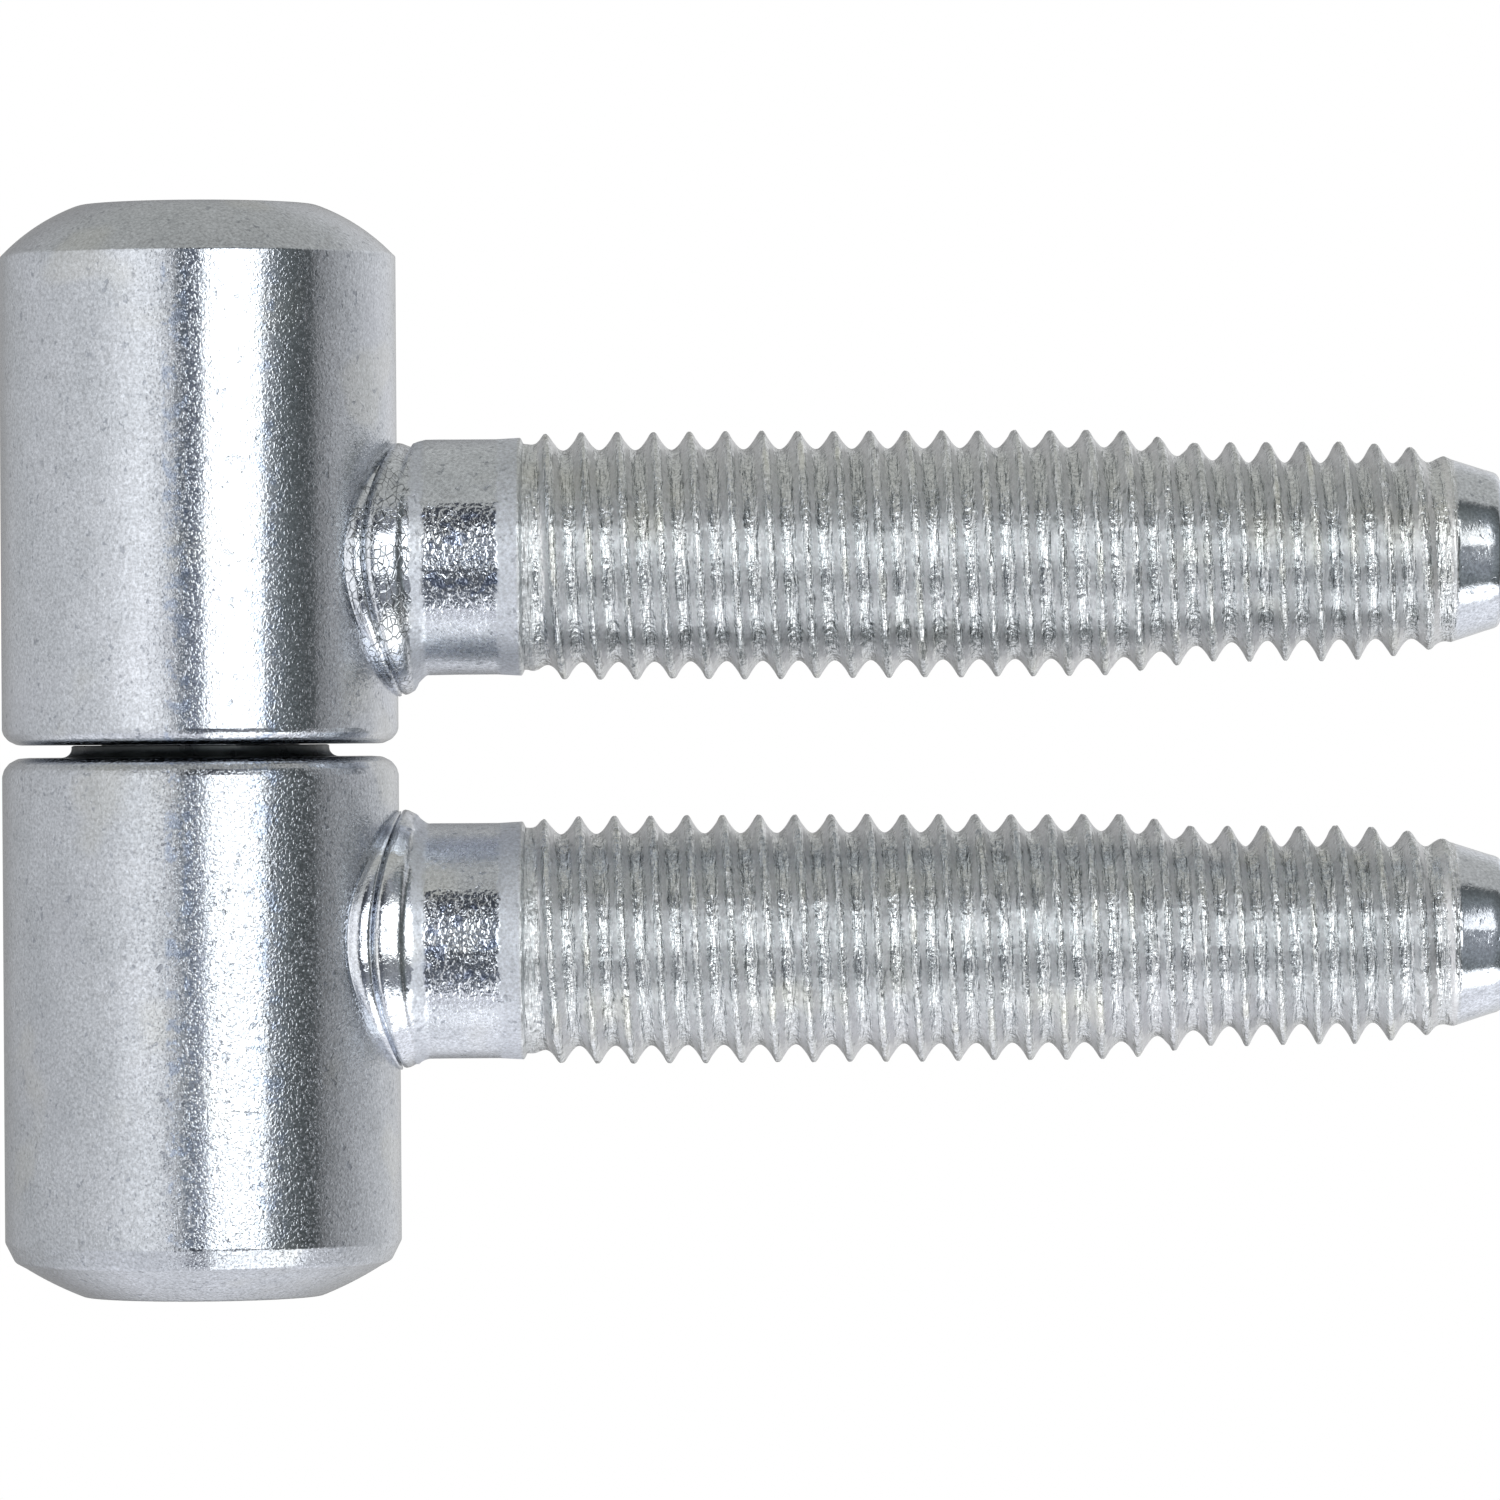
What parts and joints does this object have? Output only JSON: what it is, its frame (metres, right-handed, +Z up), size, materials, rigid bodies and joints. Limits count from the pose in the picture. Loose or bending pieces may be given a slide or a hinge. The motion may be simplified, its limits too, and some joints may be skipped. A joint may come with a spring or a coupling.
{
  "type": "drill-in hinge",
  "caption": "Lift-off hinge of an upper and a lower turned barrel on a pin, each with a welded wood-screw shank for driving into a door or its frame.",
  "frame": {"origin": "on the lower shank's axis, where its thread begins", "axes": "+X along both shanks towards their points, +Z up along the hinge axis, Y across the barrels"},
  "size_m": [0.0605, 0.016, 0.0441],
  "materials": {
    "zinc_plated_steel": "satin",
    "bright_steel": "satin"
  },
  "bodies": {
    "frame_half": {"lower_knuckle": "zinc_plated_steel", "lower_screw": "zinc_plated_steel", "hinge_pin": "bright_steel"},
    "door_half": {"upper_knuckle": "zinc_plated_steel", "upper_screw": "zinc_plated_steel"}
  },
  "joints": [
    {"name": "pivot", "type": "hinge", "parent": "frame_half", "child": "door_half", "pos_m": [-0.013, 0, 0.008], "axis": [0, 0, 1], "continuous": true}
  ]
}
